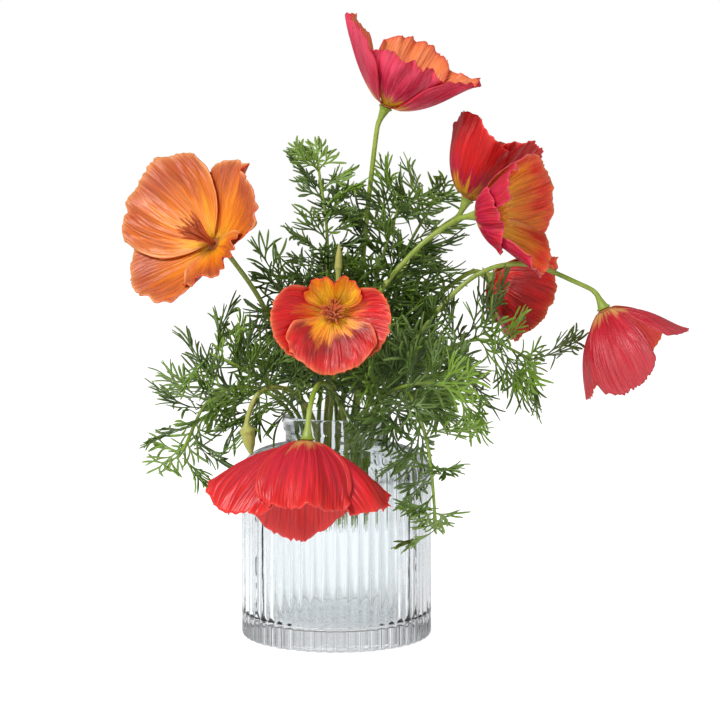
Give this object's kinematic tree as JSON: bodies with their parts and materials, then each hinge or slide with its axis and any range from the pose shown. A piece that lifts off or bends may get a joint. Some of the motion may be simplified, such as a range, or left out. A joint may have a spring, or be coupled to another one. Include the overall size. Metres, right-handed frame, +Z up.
{
  "type": "poppies in a jar",
  "caption": "California poppies in orange, red and pink, with feathery leaves and buds, standing in a round ribbed clear glass jar.",
  "frame": {"origin": "centre of the jar's flat foot, on the surface it stands on", "axes": "+Z up along the jar's axis, -Y towards the side the middle flower faces, +X to its right seen from there"},
  "size_m": [0.2469, 0.1886, 0.273],
  "materials": {
    "glass": "clear ribbed glass",
    "stem": "smooth pale green, satin",
    "leaf": "green with a grey bloom, matt",
    "bud": "yellow green, satin",
    "stamens": "orange, powdery",
    "petal_top": "satin crimson pink outside, peach inside, yellow foot",
    "petal_left": "satin orange with a brown-pink blush",
    "petal_front": "satin red with an orange heart",
    "petal_hanging": "satin coral red",
    "petal_upper_right": "satin red with an orange inside",
    "petal_right": "satin orange red with a yellow foot",
    "petal_back_right": "satin dark red with a peach edge",
    "petal_far_right": "satin crimson pink with orange tips"
  },
  "bodies": {
    "root": {"jar": "glass", "stem_top": "stem", "stamens_top": "stamens", "petal_top_1": "petal_top", "petal_top_2": "petal_top", "petal_top_3": "petal_top", "petal_top_4": "petal_top", "stem_left": "stem", "stamens_left": "stamens", "petal_left_1": "petal_left", "petal_left_2": "petal_left", "petal_left_3": "petal_left", "petal_left_4": "petal_left", "stem_front": "stem", "stamens_front": "stamens", "petal_front_1": "petal_front", "petal_front_2": "petal_front", "petal_front_3": "petal_front", "petal_front_4": "petal_front", "stem_hanging": "stem", "stamens_hanging": "stamens", "petal_hanging_1": "petal_hanging", "petal_hanging_2": "petal_hanging", "petal_hanging_3": "petal_hanging", "petal_hanging_4": "petal_hanging", "stem_upper_right": "stem", "stamens_upper_right": "stamens", "petal_upper_right_1": "petal_upper_right", "petal_upper_right_2": "petal_upper_right", "petal_upper_right_3": "petal_upper_right", "petal_upper_right_4": "petal_upper_right", "stem_right": "stem", "stamens_right": "stamens", "petal_right_1": "petal_right", "petal_right_2": "petal_right", "petal_right_3": "petal_right", "petal_right_4": "petal_right", "stem_back_right": "stem", "stamens_back_right": "stamens", "petal_back_right_1": "petal_back_right", "petal_back_right_2": "petal_back_right", "petal_back_right_3": "petal_back_right", "petal_back_right_4": "petal_back_right", "stem_far_right": "stem", "stamens_far_right": "stamens", "petal_far_right_1": "petal_far_right", "petal_far_right_2": "petal_far_right", "petal_far_right_3": "petal_far_right", "petal_far_right_4": "petal_far_right", "bud_hanging": "bud", "bud_upright": "bud", "shoot_upper_left": "leaf", "shoot_top": "leaf", "shoot_upper_right": "leaf", "shoot_right": "leaf", "shoot_right_front": "leaf", "shoot_left": "leaf", "shoot_front_left": "leaf", "shoot_front_right": "leaf", "shoot_back": "leaf"}
  },
  "joints": []
}
